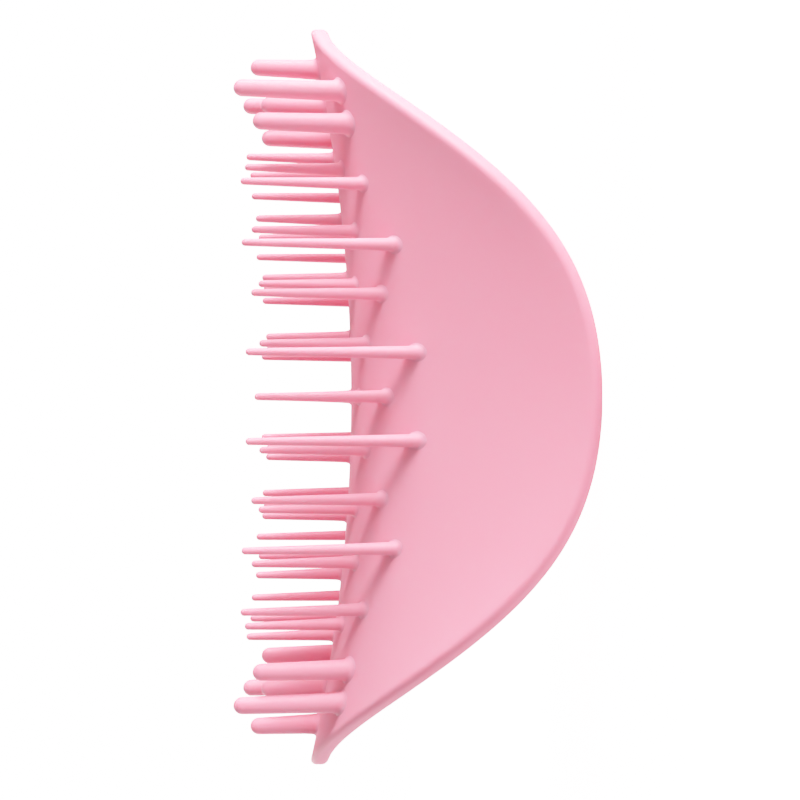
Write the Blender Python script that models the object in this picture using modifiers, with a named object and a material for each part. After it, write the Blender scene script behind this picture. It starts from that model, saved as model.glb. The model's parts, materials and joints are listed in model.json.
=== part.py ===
"""Scalp massager brush, resting on the two long rims of its saddle-shaped grip with the teeth upwards.

X runs along the brush, Y across it and Z up. The origin is on the resting plane, under the middle.
The grip shell is one thin saddle: it drops from a ridge to a wing on each side, and it rises towards both
pointed tips. A palm sits in the open trough under the ridge. The teeth stand on the shell's back in arcs that
cross the brush: slim scrubbing teeth over the middle, and thick blunt massaging teeth at each end. Each tooth
flexes by itself at its root, so each one is a body of its own, hinged on a ball root.
"""

import math

import bmesh
import bpy

MM = 0.001
COLLECTION = "scalp_massager_brush"

# Grip shell: outline, saddle and wall.
HALF_LENGTH = 45.6 * MM
HALF_WIDTH = 27.1 * MM
TIP_HALF_WIDTH = 2.25 * MM
OUTLINE_POWER = 4.15
OUTLINE_TAPER = 1.33
RIDGE_HEIGHT = 28.9 * MM
WING_DROP = 38.5  # metres of drop per square metre of Y
END_RISE = 2.45  # metres of rise per square metre of X
WING_FLARE = 5.0e5  # how fast the wings flatten out towards the ends, per X squared and Y cubed
WALL = 2.2 * MM
RIM_ROUND = 0.75 * MM
GRID_ALONG = 36
GRID_ACROSS = 16
RIM_EDGE_ANGLE = math.radians(50.0)
REST_CUT_DEPTH = 5.0 * MM
REST_CUT_REACH = 2.5  # width and length of the level cut, as multiples of the shell's half sizes

# Teeth: root radius, tip radius, and the gap kept between a ball root and the shell.
SCRUB_ROOT_RADIUS = 0.78 * MM
SCRUB_TIP_RADIUS = 0.44 * MM
SCRUB_SIDES = 10
MASSAGE_ROOT_RADIUS = 1.25 * MM
MASSAGE_TIP_RADIUS = 1.05 * MM
MASSAGE_SIDES = 12
ROOT_GAP = 0.4 * MM
END_LEAN = math.radians(2.0)  # outward lean of a tooth at the very end of the brush

# Heights of the scrubbing teeth's tips: a shallow bowl over the ridge's middle.
TIP_CLEARANCE = 10.5 * MM
TIP_RISE_ALONG = 2.9
TIP_RISE_ACROSS = 7.5

# Arcs of scrubbing teeth, from the middle of the brush to its end, as distances of their tips in millimetres.
MIDDLE_ARC = {"centre": (0.0, 0.0), "inner": (0.0, 5.2), "outer": (0.0, 10.7)}
SCRUB_ARCS = (
    {"centre": (7.5, 0.0), "inner": (6.5, 7.3), "outer": (5.3, 14.5)},
    {"centre": (14.9, 0.0), "inner": (13.85, 5.2), "outer": (12.5, 10.5)},
    {"centre": (22.3, 0.0), "inner": (20.4, 6.5), "outer": (18.35, 13.0)},
    {"centre": (30.0, 0.0), "inner": (28.2, 4.75), "outer": (26.0, 9.5)},
)

# Massaging teeth at each end: tip position and how far the tip stands above the ridge's middle, in millimetres.
MASSAGE_PLACES = {
    "short": (33.4, 8.4, 11.75),
    "long": (37.5, 8.0, 14.1),
    "heel": (36.5, 0.0, 11.25),
    "toe": (41.2, 0.0, 12.6),
}

# Looks of the moulded rubber.
PINK = (0.86, 0.44, 0.55)
SHELL_ROUGHNESS = 0.42
TOOTH_ROUGHNESS = 0.4

ENDS = {"front": 1.0, "rear": -1.0}
SIDES = {"left": 1.0, "right": -1.0}


def clear_scene():
    for item in list(bpy.data.objects):
        bpy.data.objects.remove(item, do_unlink=True)


def new_collection(name):
    collection = bpy.data.collections.new(name)
    bpy.context.scene.collection.children.link(collection)
    return collection


def soft_rubber(name, colour, roughness):
    material = bpy.data.materials.new(name)
    material.use_nodes = True
    shader = material.node_tree.nodes["Principled BSDF"]
    shader.inputs["Base Color"].default_value = (*colour, 1.0)
    shader.inputs["Roughness"].default_value = roughness
    shader.inputs["Metallic"].default_value = 0.0
    return material


def half_width(x):
    """Half the shell's width at x: full over the middle, nearly straight down to a blunt point."""
    share = min(abs(x) / HALF_LENGTH, 1.0)
    fullness = (1.0 - share**OUTLINE_POWER) ** OUTLINE_TAPER
    return TIP_HALF_WIDTH + (HALF_WIDTH - TIP_HALF_WIDTH) * fullness


def skin_height(x, y):
    """Height of the shell's outer skin: a saddle whose wings flare out towards the ends."""
    flare = WING_FLARE * x * x * abs(y) ** 3
    return RIDGE_HEIGHT - WING_DROP * y * y + END_RISE * x * x + flare


def skin_tilt(x, y):
    """Angle between the skin's normal and +Z."""
    along = 2.0 * x * (END_RISE + WING_FLARE * abs(y) ** 3)
    across = y * (3.0 * WING_FLARE * x * x * abs(y) - 2.0 * WING_DROP)
    return math.atan(math.hypot(along, across))


def grip_shell(collection, cutters, material):
    """The saddle is an open grid, thickened downwards, with its rim rounded and its resting rims cut level."""
    mesh = bpy.data.meshes.new("grip_shell")
    grid = bmesh.new()
    bmesh.ops.create_grid(grid, x_segments=GRID_ALONG, y_segments=GRID_ACROSS, size=1.0)
    for vert in grid.verts:
        x = vert.co.x * HALF_LENGTH
        y = vert.co.y * half_width(x)
        vert.co = (x, y, skin_height(x, y))
    grid.to_mesh(mesh)
    grid.free()
    mesh.materials.append(material)
    mesh.shade_smooth()
    shell = bpy.data.objects.new("grip_shell", mesh)
    collection.objects.link(shell)

    wall = shell.modifiers.new("Wall", "SOLIDIFY")
    wall.thickness = WALL
    wall.offset = -1.0
    wall.use_even_offset = True
    rim = shell.modifiers.new("Rim", "BEVEL")
    rim.width = RIM_ROUND
    rim.segments = 2
    rim.limit_method = "ANGLE"
    rim.angle_limit = RIM_EDGE_ANGLE
    level = shell.modifiers.new("Level", "BOOLEAN")
    level.operation = "DIFFERENCE"
    level.solver = "EXACT"
    level.object = rest_cutter(cutters)
    return shell


def rest_cutter(collection):
    """A block under the resting plane, wider and longer than the shell."""
    mesh = bpy.data.meshes.new("rest_cutter")
    block = bmesh.new()
    bmesh.ops.create_cube(block, size=1.0)
    for vert in block.verts:
        vert.co.x *= REST_CUT_REACH * HALF_LENGTH
        vert.co.y *= REST_CUT_REACH * HALF_WIDTH
        vert.co.z = (vert.co.z - 0.5) * REST_CUT_DEPTH
    block.to_mesh(mesh)
    block.free()
    cutter = bpy.data.objects.new("rest_cutter", mesh)
    cutter.hide_render = True
    cutter.display_type = "WIRE"
    collection.objects.link(cutter)
    return cutter


def tooth_profile(length, root_radius, tip_radius):
    """Half outline of a tooth from its tip to the bottom of its ball root, whose centre is the origin."""
    shoulder = length - tip_radius
    slant = math.sqrt(0.5)
    return [
        (0.0, length),
        (tip_radius * slant, shoulder + tip_radius * slant),
        (tip_radius, shoulder),
        (root_radius, 0.0),
        (root_radius * slant, -root_radius * slant),
        (0.0, -root_radius),
    ]


def turned(name, profile, sides, collection, material):
    """A solid of revolution about its own Z axis."""
    mesh = bpy.data.meshes.new(name)
    outline = bmesh.new()
    verts = [outline.verts.new((radius, 0.0, height)) for radius, height in profile]
    for upper, lower in zip(verts, verts[1:]):
        outline.edges.new((upper, lower))
    outline.to_mesh(mesh)
    outline.free()
    mesh.materials.append(material)
    item = bpy.data.objects.new(name, mesh)
    collection.objects.link(item)
    turn = item.modifiers.new("Turn", "SCREW")
    turn.steps = sides
    turn.render_steps = sides
    turn.use_merge_vertices = True
    turn.merge_threshold = 0.01 * MM
    turn.use_smooth_shade = True
    return item


def tooth(name, tip, root_radius, tip_radius, sides, collection, material):
    """A tooth with its ball root just clear of the skin, leaning outwards a little towards the brush's ends."""
    tip_x, tip_y, tip_z = tip
    lean = END_LEAN * tip_x / HALF_LENGTH
    root_x = tip_x - math.tan(lean) * (tip_z - skin_height(tip_x, tip_y))
    lift = (root_radius + ROOT_GAP) / math.cos(skin_tilt(root_x, tip_y))
    root_z = skin_height(root_x, tip_y) + lift
    length = math.hypot(tip_x - root_x, tip_z - root_z)
    profile = tooth_profile(length, root_radius, tip_radius)
    item = turned(name, profile, sides, collection, material)
    item.location = (root_x, tip_y, root_z)
    item.rotation_euler.y = math.atan2(tip_x - root_x, tip_z - root_z)
    return item


def scrub_tip(x_mm, y_mm):
    """Tip of a scrubbing tooth: the tips lie in a shallow bowl above the shell."""
    x = x_mm * MM
    y = y_mm * MM
    rise = TIP_CLEARANCE + TIP_RISE_ALONG * x * x + TIP_RISE_ACROSS * y * y
    return x, y, RIDGE_HEIGHT + rise


def sides_of(place, distance):
    """Names and signed distances of a tooth and its mirror twin, or of one tooth on the centre line."""
    if distance == 0.0:
        return [(place, 0.0)]
    return [(f"{place}_{side}", sign * distance) for side, sign in SIDES.items()]


def scrub_arc(prefix, arc, end_sign, collection, material):
    for place, (along, across) in arc.items():
        for label, y_mm in sides_of(place, across):
            tip = scrub_tip(end_sign * along, y_mm)
            name = f"{prefix}_{label}"
            tooth(name, tip, SCRUB_ROOT_RADIUS, SCRUB_TIP_RADIUS, SCRUB_SIDES, collection, material)


def massage_group(end, end_sign, collection, material):
    for place, (along, across, above) in MASSAGE_PLACES.items():
        for label, y_mm in sides_of(place, across):
            tip = (end_sign * along * MM, y_mm * MM, RIDGE_HEIGHT + above * MM)
            name = f"massage_tooth_{end}_{label}"
            tooth(name, tip, MASSAGE_ROOT_RADIUS, MASSAGE_TIP_RADIUS, MASSAGE_SIDES, collection, material)


def main():
    clear_scene()
    parts = new_collection(COLLECTION)
    cutters = new_collection("cutters")
    grip_shell(parts, cutters, soft_rubber("shell_rubber", PINK, SHELL_ROUGHNESS))
    scrub_rubber = soft_rubber("scrub_tooth_rubber", PINK, TOOTH_ROUGHNESS)
    massage_rubber = soft_rubber("massage_tooth_rubber", PINK, TOOTH_ROUGHNESS)
    scrub_arc("scrub_tooth_middle", MIDDLE_ARC, 1.0, parts, scrub_rubber)
    for end, end_sign in ENDS.items():
        for number, arc in enumerate(SCRUB_ARCS, start=1):
            scrub_arc(f"scrub_tooth_{end}_{number}", arc, end_sign, parts, scrub_rubber)
        massage_group(end, end_sign, parts, massage_rubber)


main()
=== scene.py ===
"""Looks of the scalp massager brush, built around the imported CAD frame.

The brush rests on its two wing rims with its teeth upwards: X runs along it, Y across it and Z up.
Its front end is at +X and its left side at +Y.
"""

import json
import math

import bpy
from mathutils import Matrix, Vector


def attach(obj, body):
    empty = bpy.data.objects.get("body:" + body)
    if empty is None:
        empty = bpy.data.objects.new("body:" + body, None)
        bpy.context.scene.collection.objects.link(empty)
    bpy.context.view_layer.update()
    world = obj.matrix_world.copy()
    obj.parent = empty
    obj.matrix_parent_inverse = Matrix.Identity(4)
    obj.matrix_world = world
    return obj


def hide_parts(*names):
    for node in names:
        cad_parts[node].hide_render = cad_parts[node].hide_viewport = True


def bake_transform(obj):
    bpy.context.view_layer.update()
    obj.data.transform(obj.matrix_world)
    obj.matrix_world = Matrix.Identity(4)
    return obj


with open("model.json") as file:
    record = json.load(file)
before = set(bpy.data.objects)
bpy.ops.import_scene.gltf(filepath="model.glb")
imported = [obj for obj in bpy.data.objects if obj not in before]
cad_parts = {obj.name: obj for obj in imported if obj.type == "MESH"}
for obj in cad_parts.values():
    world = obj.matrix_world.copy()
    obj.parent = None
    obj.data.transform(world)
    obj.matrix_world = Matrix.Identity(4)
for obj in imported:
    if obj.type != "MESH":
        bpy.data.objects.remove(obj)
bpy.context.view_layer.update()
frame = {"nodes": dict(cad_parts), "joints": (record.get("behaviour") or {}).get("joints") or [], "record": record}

MM = 0.001
QUARTER_TURN = 0.5 * math.pi

# The grip shell's saddle, as the CAD model has it.
HALF_LENGTH = 45.6 * MM
HALF_WIDTH = 27.1 * MM
TIP_HALF_WIDTH = 2.25 * MM
OUTLINE_POWER = 4.15
OUTLINE_TAPER = 1.33
RIDGE_HEIGHT = 28.9 * MM
WING_DROP = 38.5  # metres of drop per square metre of Y
END_RISE = 2.45  # metres of rise per square metre of X
WING_FLARE = 5.0e5  # how fast the wings flatten out towards the ends, per X squared and Y cubed
WALL = 2.2 * MM

# Finer shapes that only the visible shell has: the noses of its two tips and the edges of its rim.
# The higher a power is, the nearer to the tip its change begins.
NOSE_POWER = 40.0
TIP_REACH = 0.36 * MM
TIP_REACH_POWER = 15
TIP_SQUARE_POWER = 6
UPPER_ROUND = 0.8 * MM
LOWER_ROUND = 0.7 * MM

# Mesh density.
SHELL_CELLS = 88
SHELL_INSET = 0.965  # share of the unit disc that the skins' grids cover, before the rim's rings begin
DISC_EDGE = 0.999999  # largest X of the unit disc at which a width is worked out
RIM_ARC_STEPS = 5
RIM_TURN = 0.002  # turn to either side, in radians, over which the rim's direction is taken
TOOTH_SIDES = 24
TIP_STEPS = 6
SHAFT_STEPS = 10
SETTLE_STEPS = 5
FILLET_STEPS = 6
FOOT_STEPS = 6  # rounds of the search for the place where a tooth meets the skin

# Teeth: tip radius by kind, and the moulded fillet at each root.
TIP_RADIUS = {"scrub": 0.44 * MM, "massage": 1.05 * MM}
FILLET = {"scrub": 0.32 * MM, "massage": 0.4 * MM}
FILLET_STRETCH = 2.2  # height of a fillet as a multiple of its width
ROOT_SINK = 0.12 * MM
SETTLE_HEIGHT = 1.6 * MM  # height where level rings begin to settle onto the slope of the skin

# Pink elastomer: the two tints that its flow marks mix, its gloss and scattering, and its marks and grain.
LIGHT_PINK = (0.92, 0.285, 0.39)
DEEP_PINK = (0.89, 0.265, 0.365)
ROUGHNESS = 0.5
SPECULAR_LEVEL = 0.3
IOR = 1.45
SCATTER_WEIGHT = 0.5
SCATTER_RADIUS = (1.0, 0.25, 0.3)
SCATTER_SCALE = 0.6 * MM
FLOW_SCALE = 55.0
FLOW_DETAIL = 3.0
GRAIN_SCALE = 4500.0
GRAIN_DETAIL = 2.0
GRAIN_STRENGTH = 0.12
GRAIN_DEPTH = 0.03 * MM

# Camera: level with the brush, looking along +Y and rolled so that the teeth point left.
CAMERA_DISTANCE = 264.0 * MM
CAMERA_ALONG = -0.4 * MM
CAMERA_HEIGHT = 22.8 * MM
LENS = 95.0
SENSOR_WIDTH = 36.0
CLIP_START = 10.0 * MM
CLIP_END = 20.0

# Studio floor: its size and finish, the light it sends back up, and how white the camera sees it.
WHITE = (1.0, 1.0, 1.0, 1.0)
FLOOR_REACH = 4.0
FLOOR_DROP = 0.05 * MM
FLOOR_GREY = (0.8, 0.8, 0.8, 1.0)
FLOOR_ROUGHNESS = 0.9
FLOOR_BOUNCE = 0.6
FLOOR_GLOW = 3.2
FLOOR_NEAR = 60.0 * MM  # up to here the glow takes FLOOR_NEAR_SHARE of the floor, and the rest shows shadow
FLOOR_FAR = 260.0 * MM  # from here on it takes all of it
FLOOR_NEAR_SHARE = 0.85

# Light from all round, at the rear and the front end of the brush, and the softboxes.
AMBIENT_REAR = 0.56
AMBIENT_FRONT = 0.66
LIGHTS_AIM = (0.0, 0.0, 0.02)
SOFTBOXES = {
    "top_light": {"place": (0.56, -0.09, 0.05), "size": 0.4, "power": 13.0},
    "key_light": {"place": (0.47, -0.27, 0.12), "size": 0.16, "power": 4.0},
    "back_fill": {"place": (-0.36, 0.44, 0.26), "size": 0.4, "power": 4.0},
}

# Film-like tone curve: scene brightness that comes out as full white, and the points that shape the curve.
WHITE_LEVEL = 3.0
CURVE_POINTS = 10
CURVE_SPACING = 1.5  # above 1, the points stand closer together in the shadows
COMBINED_CURVE = 3  # Blender's index for the curve that acts on red, green and blue together


# ---------------------------------------------------------------- surface of the shell

def half_width(share):
    """Half the shell's width at a share of its half length, down to a small round nose."""
    share = min(abs(share), 1.0)
    fullness = (1.0 - share**OUTLINE_POWER) ** OUTLINE_TAPER
    width = TIP_HALF_WIDTH + (HALF_WIDTH - TIP_HALF_WIDTH) * fullness
    return width * math.sqrt(max(0.0, 1.0 - share**NOSE_POWER))


def skin(x, y):
    """Height of the outer skin: a saddle whose wings flare out towards the ends."""
    flare = WING_FLARE * x * x * abs(y) ** 3
    return RIDGE_HEIGHT - WING_DROP * y * y + END_RISE * x * x + flare


def skin_normal(x, y):
    """Upward normal of the outer skin, from its slopes along and across the brush."""
    along = 2.0 * x * (END_RISE + WING_FLARE * abs(y) ** 3)
    across = y * (3.0 * WING_FLARE * x * x * abs(y) - 2.0 * WING_DROP)
    return Vector((-along, -across, 1.0)).normalized()


def wall_direction(x, y):
    """Direction from the inner skin to the outer one. It loses its lean along the brush towards the tips."""
    normal = skin_normal(x, y)
    normal.x *= 1.0 - (x / HALF_LENGTH) ** TIP_SQUARE_POWER
    return normal.normalized()


def spread(across, along):
    """Y of the skin at a point of the unit disc. It stays finite at the round nose."""
    along = min(abs(along), DISC_EDGE)
    return across * half_width(along) / math.sqrt(1.0 - along * along)


def on_skin(disc_x, disc_y):
    """A point of the outer skin, from a point of the unit disc. The tips reach a little further out."""
    x = disc_x * HALF_LENGTH + TIP_REACH * disc_x**TIP_REACH_POWER
    y = spread(disc_y, disc_x)
    return Vector((x, y, skin(x, y)))


def square_to_disc(s, t):
    """A point of the unit disc, from a point of the square that reaches from -1 to 1."""
    return s * math.sqrt(1.0 - 0.5 * t * t), t * math.sqrt(1.0 - 0.5 * s * s)


def rim_frame(turn):
    """Rim point, outward direction in the skin, and direction through the wall at an angle round the disc."""
    here = on_skin(math.cos(turn), math.sin(turn))
    ahead = on_skin(math.cos(turn + RIM_TURN), math.sin(turn + RIM_TURN))
    behind = on_skin(math.cos(turn - RIM_TURN), math.sin(turn - RIM_TURN))
    normal = skin_normal(here.x, here.y)
    outward = (ahead - behind).cross(normal).normalized()
    return here, outward, wall_direction(here.x, here.y)


def rim_profile():
    """Cross-section of the rounded rim, as (outward, downward) offsets from the rim point."""
    quarter = [QUARTER_TURN * i / RIM_ARC_STEPS for i in range(RIM_ARC_STEPS + 1)]
    upper = [(UPPER_ROUND * (math.sin(a) - 1.0), UPPER_ROUND * (1.0 - math.cos(a))) for a in quarter]
    lower = [(LOWER_ROUND * (math.cos(a) - 1.0), WALL - LOWER_ROUND * (1.0 - math.sin(a))) for a in quarter]
    return upper + lower


# ---------------------------------------------------------------- meshes

def new_mesh_object(name, verts, faces):
    mesh = bpy.data.meshes.new(name)
    mesh.from_pydata([tuple(v) for v in verts], [], faces)
    mesh.validate()
    mesh.update()
    mesh.shade_smooth()
    item = bpy.data.objects.new(name, mesh)
    bpy.context.scene.collection.objects.link(item)
    return item


def grid_faces(first, count, flip):
    """Quads of a square grid of vertices whose rows start at index first."""
    faces = []
    row = count + 1
    for i in range(count):
        for j in range(count):
            a = first + i * row + j
            quad = (a, a + row, a + row + 1, a + 1)
            faces.append(quad[::-1] if flip else quad)
    return faces


def grid_border(first, count):
    """Indices round the border of that grid, counter-clockwise seen from above."""
    row = count + 1
    south = [first + i * row for i in range(count)]
    east = [first + count * row + j for j in range(count)]
    north = [first + (count - i) * row + count for i in range(count)]
    west = [first + count - j for j in range(count)]
    return south + east + north + west


def strip_faces(rings):
    """Quads between closed rings of vertex indices, each ring with the next one below it."""
    faces = []
    for upper, lower in zip(rings, rings[1:]):
        for i in range(len(upper)):
            j = (i + 1) % len(upper)
            faces.append((upper[i], lower[i], lower[j], upper[j]))
    return faces


def shell_mesh():
    """One closed sheet: outer skin, rounded rim and inner skin."""
    count = SHELL_CELLS
    ticks = [2.0 * i / count - 1.0 for i in range(count + 1)]
    disc = [square_to_disc(s, t) for s in ticks for t in ticks]
    outer = [on_skin(SHELL_INSET * dx, SHELL_INSET * dy) for dx, dy in disc]
    inner = [p - wall_direction(p.x, p.y) * WALL for p in outer]
    verts = outer + inner
    faces = grid_faces(0, count, False) + grid_faces(len(outer), count, True)

    upper_border = grid_border(0, count)
    lower_border = grid_border(len(outer), count)
    frames = [rim_frame(math.atan2(disc[i][1], disc[i][0])) for i in upper_border]
    rings = [upper_border]
    for out, down in rim_profile():
        first = len(verts)
        verts += [here + outward * out - through * down for here, outward, through in frames]
        rings.append(list(range(first, first + len(frames))))
    rings.append(lower_border)
    return new_mesh_object("shell_skin", verts, faces + strip_faces(rings))


# ---------------------------------------------------------------- teeth

def tooth_facts(joint):
    """Node, hinge, tip and root radius of the tooth that a joint carries, from the frame."""
    node = frame["record"]["behaviour"]["bodies"][joint["child"]][0]
    hinge = Vector(joint["pos_m"])
    reach = [v.co - hinge for v in frame["nodes"][node].data.vertices]
    tip = hinge + max(reach, key=lambda r: r.length)
    root_radius = min(r.length for r in reach)
    return node, hinge, tip, root_radius


def foot_of(hinge, tip):
    """Where the tooth's axis meets the outer skin."""
    axis = (tip - hinge).normalized()
    foot = hinge.copy()
    for _ in range(FOOT_STEPS):
        foot -= axis * (foot.z - skin(foot.x, foot.y))
    return foot


def tooth_rings(foot, tip, tip_radius, root_radius, fillet):
    """Rings of points down a tooth: its round tip, its shaft, and the fillet that follows the skin."""
    axis = (tip - foot).normalized()
    shoulder = (tip - foot).length - tip_radius
    side_x = Vector((0.0, 1.0, 0.0)).cross(axis).normalized()
    side_y = axis.cross(side_x)
    turns = [math.tau * i / TOOTH_SIDES for i in range(TOOTH_SIDES)]
    spokes = [side_x * math.cos(t) + side_y * math.sin(t) for t in turns]

    def shaft_radius(height):
        return root_radius + (tip_radius - root_radius) * max(0.0, height) / shoulder

    def level_ring(radius, height):
        centre = foot + axis * height
        return [centre + spoke * radius for spoke in spokes]

    def skin_ring(radius, lift):
        """A ring of that radius round the axis, at a height above the skin under each of its points."""
        ring = []
        for spoke in spokes:
            point = foot + spoke * radius
            point += axis * (skin(point.x, point.y) + lift - point.z)
            ring.append(point)
        return ring

    rings = []
    for i in range(1, TIP_STEPS + 1):
        a = QUARTER_TURN * i / TIP_STEPS
        rings.append(level_ring(tip_radius * math.sin(a), shoulder + tip_radius * math.cos(a)))
    slope = math.tan(math.acos(skin_normal(foot.x, foot.y).z))
    settle_top = SETTLE_HEIGHT + slope * root_radius
    for i in range(1, SHAFT_STEPS + 1):
        height = shoulder + (settle_top - shoulder) * i / SHAFT_STEPS
        rings.append(level_ring(shaft_radius(height), height))
    top = rings[-1]
    fillet_height = fillet * FILLET_STRETCH
    bottom = skin_ring(root_radius, fillet_height)
    for i in range(1, SETTLE_STEPS + 1):
        share = i / SETTLE_STEPS
        rings.append([a.lerp(b, share) for a, b in zip(top, bottom)])
    for i in range(1, FILLET_STEPS + 1):
        a = QUARTER_TURN * (1.0 - i / FILLET_STEPS)
        radius = root_radius + fillet * (1.0 - math.sin(a))
        rings.append(skin_ring(radius, fillet_height * (1.0 - math.cos(a))))
    rings.append(skin_ring(root_radius + fillet, -ROOT_SINK))
    return rings


def tooth_mesh(name, kind, hinge, tip, root_radius):
    """A tapered tooth with a full round tip, whose root flares into a fillet sunk a little into the skin."""
    foot = foot_of(hinge, tip)
    rings = tooth_rings(foot, tip, TIP_RADIUS[kind], root_radius, FILLET[kind])
    shaft = tip - foot
    verts = [foot + shaft.normalized() * shaft.length]
    rows = []
    for ring in rings:
        rows.append(range(len(verts), len(verts) + TOOTH_SIDES))
        verts += ring
    first = rows[0]
    faces = [(0, first[i], first[(i + 1) % TOOTH_SIDES]) for i in range(TOOTH_SIDES)]
    faces += strip_faces(rows)
    faces.append(tuple(reversed(rows[-1])))
    return new_mesh_object(name, verts, faces)


# ---------------------------------------------------------------- materials

def principled(name):
    """A new material with its nodes, its links and its main shader."""
    material = bpy.data.materials.new(name)
    material.use_nodes = True
    tree = material.node_tree
    return material, tree.nodes, tree.links, tree.nodes["Principled BSDF"]


def set_sockets(node, values):
    for socket, value in values.items():
        node.inputs[socket].default_value = value


def pink_elastomer():
    """Satin moulded elastomer: soft scattering, faint flow marks and a fine moulded grain."""
    material, nodes, links, shader = principled("pink_elastomer")
    set_sockets(shader, {
        "Roughness": ROUGHNESS,
        "Specular IOR Level": SPECULAR_LEVEL,
        "IOR": IOR,
        "Subsurface Weight": SCATTER_WEIGHT,
        "Subsurface Radius": SCATTER_RADIUS,
        "Subsurface Scale": SCATTER_SCALE,
    })
    place = nodes.new("ShaderNodeTexCoord")
    flow = nodes.new("ShaderNodeTexNoise")
    set_sockets(flow, {"Scale": FLOW_SCALE, "Detail": FLOW_DETAIL})
    tint = nodes.new("ShaderNodeMix")
    tint.data_type = "RGBA"
    set_sockets(tint, {"A": (*LIGHT_PINK, 1.0), "B": (*DEEP_PINK, 1.0)})
    links.new(place.outputs["Object"], flow.inputs["Vector"])
    links.new(flow.outputs["Fac"], tint.inputs["Factor"])
    links.new(tint.outputs["Result"], shader.inputs["Base Color"])
    grain = nodes.new("ShaderNodeTexNoise")
    set_sockets(grain, {"Scale": GRAIN_SCALE, "Detail": GRAIN_DETAIL})
    bump = nodes.new("ShaderNodeBump")
    set_sockets(bump, {"Strength": GRAIN_STRENGTH, "Distance": GRAIN_DEPTH})
    links.new(place.outputs["Object"], grain.inputs["Vector"])
    links.new(grain.outputs["Fac"], bump.inputs["Height"])
    links.new(bump.outputs["Normal"], shader.inputs["Normal"])
    return material


# ---------------------------------------------------------------- studio

def floor_material():
    """Pale floor. The camera sees almost white with a soft shadow near the brush, and white far off."""
    material, nodes, links, shader = principled("pale_floor")
    set_sockets(shader, {
        "Base Color": FLOOR_GREY,
        "Roughness": FLOOR_ROUGHNESS,
        "Specular IOR Level": 0.0,
        "Emission Color": WHITE,
        "Emission Strength": FLOOR_BOUNCE,
    })
    place = nodes.new("ShaderNodeNewGeometry")
    distance = nodes.new("ShaderNodeVectorMath")
    distance.operation = "LENGTH"
    whiteness = nodes.new("ShaderNodeMapRange")
    set_sockets(whiteness, {
        "From Min": FLOOR_NEAR,
        "From Max": FLOOR_FAR,
        "To Min": FLOOR_NEAR_SHARE,
        "To Max": 1.0,
    })
    path = nodes.new("ShaderNodeLightPath")
    share = nodes.new("ShaderNodeMath")
    share.operation = "MULTIPLY"
    glow = nodes.new("ShaderNodeEmission")
    set_sockets(glow, {"Strength": FLOOR_GLOW})
    seen = nodes.new("ShaderNodeMixShader")
    links.new(place.outputs["Position"], distance.inputs[0])
    links.new(distance.outputs["Value"], whiteness.inputs["Value"])
    links.new(path.outputs["Is Camera Ray"], share.inputs[0])
    links.new(whiteness.outputs["Result"], share.inputs[1])
    links.new(share.outputs["Value"], seen.inputs["Fac"])
    links.new(shader.outputs["BSDF"], seen.inputs[1])
    links.new(glow.outputs["Emission"], seen.inputs[2])
    links.new(seen.outputs["Shader"], nodes["Material Output"].inputs["Surface"])
    return material


def studio_floor():
    """A wide floor just under the two wing rims."""
    mesh = bpy.data.meshes.new("studio_floor")
    reach = FLOOR_REACH
    corners = [(-reach, -reach, 0), (reach, -reach, 0), (reach, reach, 0), (-reach, reach, 0)]
    mesh.from_pydata(corners, [], [(0, 1, 2, 3)])
    floor = bpy.data.objects.new("studio_floor", mesh)
    floor.location.z = -FLOOR_DROP
    bpy.context.scene.collection.objects.link(floor)
    mesh.materials.append(floor_material())


def studio_world():
    """Soft light from all round, a little weaker from the rear. The camera sees plain white instead."""
    world = bpy.data.worlds.new("studio")
    bpy.context.scene.world = world
    world.use_nodes = True
    nodes = world.node_tree.nodes
    links = world.node_tree.links
    direction = nodes.new("ShaderNodeTexCoord")
    axes = nodes.new("ShaderNodeSeparateXYZ")
    slope = nodes.new("ShaderNodeMapRange")
    set_sockets(slope, {"From Min": -1.0, "From Max": 1.0, "To Min": AMBIENT_REAR, "To Max": AMBIENT_FRONT})
    ambient = nodes["Background"]
    set_sockets(ambient, {"Color": WHITE})
    white = nodes.new("ShaderNodeBackground")
    set_sockets(white, {"Strength": WHITE_LEVEL, "Color": WHITE})
    path = nodes.new("ShaderNodeLightPath")
    seen = nodes.new("ShaderNodeMixShader")
    links.new(direction.outputs["Generated"], axes.inputs["Vector"])
    links.new(axes.outputs["X"], slope.inputs["Value"])
    links.new(slope.outputs["Result"], ambient.inputs["Strength"])
    links.new(path.outputs["Is Camera Ray"], seen.inputs["Fac"])
    links.new(ambient.outputs["Background"], seen.inputs[1])
    links.new(white.outputs["Background"], seen.inputs[2])
    links.new(seen.outputs["Shader"], nodes["World Output"].inputs["Surface"])


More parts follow.
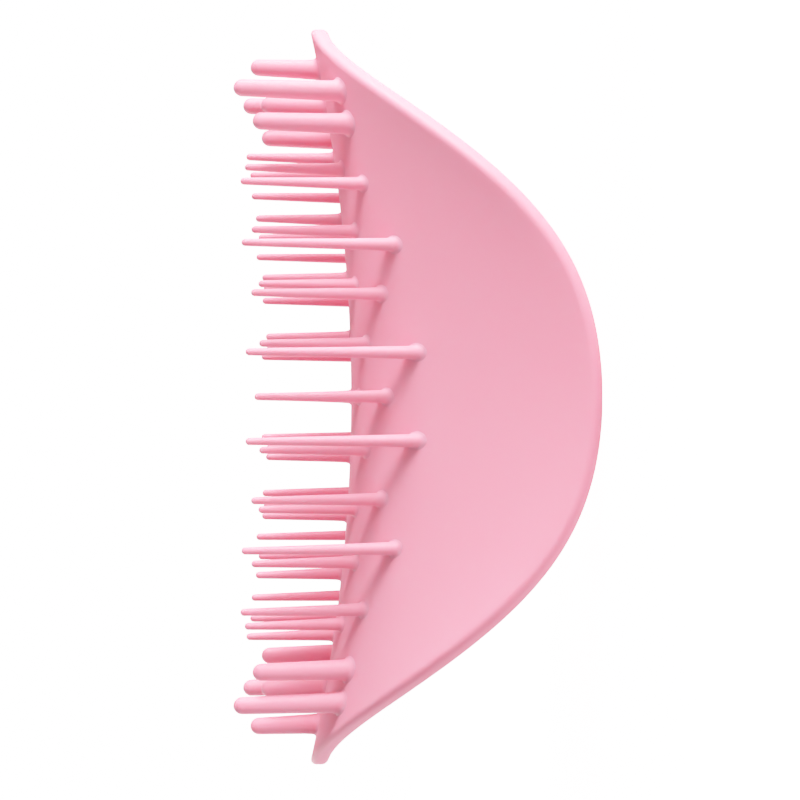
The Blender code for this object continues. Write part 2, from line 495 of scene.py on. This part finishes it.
def softbox(name, place, size, power):
    """A square light that faces the middle of the brush."""
    data = bpy.data.lights.new(name, "AREA")
    data.shape = "SQUARE"
    data.size = size
    data.energy = power
    lamp = bpy.data.objects.new(name, data)
    bpy.context.scene.collection.objects.link(lamp)
    lamp.location = place
    lamp.rotation_mode = "QUATERNION"
    lamp.rotation_quaternion = (Vector(LIGHTS_AIM) - Vector(place)).to_track_quat("-Z", "Y")


def studio_camera():
    data = bpy.data.cameras.new("camera")
    data.lens = LENS
    data.sensor_width = SENSOR_WIDTH
    data.clip_start = CLIP_START
    data.clip_end = CLIP_END
    camera = bpy.data.objects.new("camera", data)
    bpy.context.scene.collection.objects.link(camera)
    right, up, back = Vector((0, 0, -1)), Vector((1, 0, 0)), Vector((0, -1, 0))
    turn = Matrix((right, up, back)).transposed().to_4x4()
    camera.matrix_world = Matrix.Translation((CAMERA_ALONG, -CAMERA_DISTANCE, CAMERA_HEIGHT)) @ turn
    bpy.context.scene.camera = camera


def film_shoulder():
    """Roll the highlights off softly, up to full white at WHITE_LEVEL."""
    view = bpy.context.scene.view_settings
    view.view_transform = "Standard"
    view.use_curve_mapping = True
    mapping = view.curve_mapping
    mapping.clip_max_x = WHITE_LEVEL
    points = mapping.curves[COMBINED_CURVE].points
    points[1].location = (WHITE_LEVEL, 1.0)
    for i in range(1, CURVE_POINTS):
        level = WHITE_LEVEL * (i / CURVE_POINTS) ** CURVE_SPACING
        points.new(level, (1.0 - math.exp(-level)) / (1.0 - math.exp(-WHITE_LEVEL)))
    mapping.update()


# ---------------------------------------------------------------- assembly

def main():
    studio_camera()
    rubber = pink_elastomer()
    shell = shell_mesh()
    shell.data.materials.append(rubber)
    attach(shell, "grip")
    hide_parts("grip_shell")
    for joint in frame["joints"]:
        node, hinge, tip, root_radius = tooth_facts(joint)
        kind = node.split("_")[0]
        tooth = tooth_mesh(node.replace("_tooth_", "_bristle_"), kind, hinge, tip, root_radius)
        tooth.data.materials.append(rubber)
        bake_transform(tooth)
        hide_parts(node)
    studio_floor()
    studio_world()
    for name, box in SOFTBOXES.items():
        softbox(name, **box)
    film_shoulder()


main()
